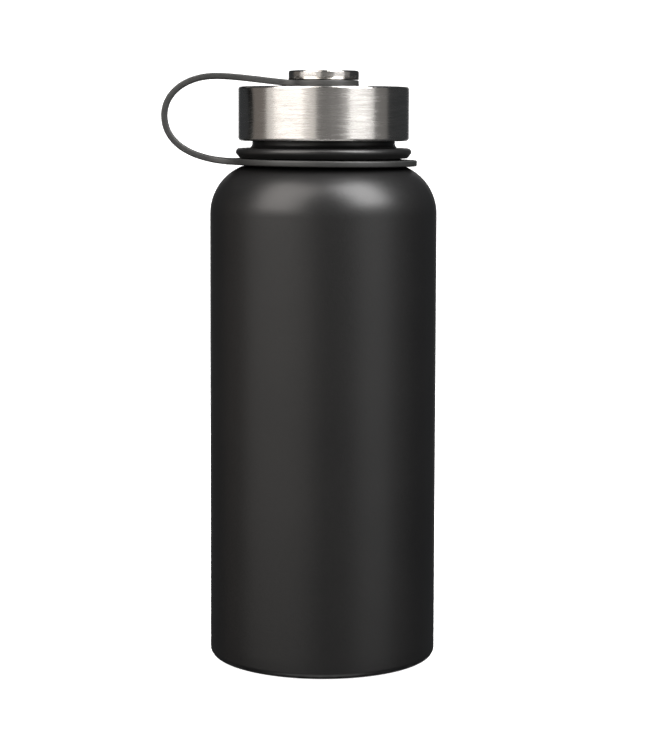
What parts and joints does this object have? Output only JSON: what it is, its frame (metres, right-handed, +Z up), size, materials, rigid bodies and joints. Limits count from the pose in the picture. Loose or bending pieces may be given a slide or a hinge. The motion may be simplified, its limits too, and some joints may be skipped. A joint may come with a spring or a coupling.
{
  "type": "insulated water bottle",
  "caption": "Straight-sided wide-mouth vacuum bottle with a steel-clad screw cap, a knob on top and a looped rubber strap tying cap to neck.",
  "frame": {"origin": "centre of the foot's flat ring, on the surface that the bottle stands on", "axes": "+Z up along the bottle's axis, the strap's loop towards -X"},
  "size_m": [0.1104, 0.091, 0.2362],
  "materials": {
    "powder_coat": "matt powder coat, fine grain",
    "vessel_steel": "satin",
    "brushed_steel": "brushed round the axis",
    "foil": "bright foil",
    "seal_metal": "dull solder",
    "getter": "sintered powder",
    "hardware": "plain",
    "insert_brass": "knurled",
    "black_plastic": "fine satin moulding",
    "foam": "closed-cell foam",
    "silicone": "smooth silicone",
    "strap_rubber": "matt moulded rubber"
  },
  "bodies": {
    "bottle": {"outer_shell": "powder_coat", "inner_vessel": "vessel_steel", "reflective_foil": "foil", "outer_base": "powder_coat", "base_cover": "powder_coat", "vacuum_seal": "seal_metal", "getter": "getter", "getter_clip": "hardware"},
    "strap": {"strap_neck_ring": "strap_rubber", "strap_band": "strap_rubber"},
    "strap_eye": {"strap_eye": "strap_rubber"},
    "knob": {"knob_cover": "brushed_steel", "knob_core": "black_plastic", "knob_insert": "insert_brass", "knob_screw": "hardware", "knob_washer": "hardware"},
    "cap": {"cap_shell": "brushed_steel", "cap_body": "black_plastic", "cap_insulation": "foam", "cap_plug": "black_plastic", "cap_gasket": "silicone"}
  },
  "joints": [
    {"name": "cap_lift", "type": "slide", "parent": "bottle", "child": "knob", "axis": [0, 0, 1], "range_m": [0, 0.01801]},
    {"name": "cap_turn", "type": "hinge", "parent": "knob", "child": "cap", "pos_m": [0, 0, 0.2], "axis": [0, 0, 1], "range_deg": [0, 720]},
    {"name": "strap_swivel", "type": "hinge", "parent": "bottle", "child": "strap", "pos_m": [0, 0, 0.1994], "axis": [0, 0, 1], "continuous": true},
    {"name": "eye_lift", "type": "slide", "parent": "strap", "child": "strap_eye", "axis": [0, 0, 1], "range_m": [0, 0.01801], "deforming": ["strap_band"]}
  ],
  "couplings": [
    {"joint": "cap_lift", "follows": "cap_turn", "m_per_rad": 0.0014324},
    {"joint": "eye_lift", "follows": "cap_turn", "m_per_rad": 0.0014324}
  ]
}
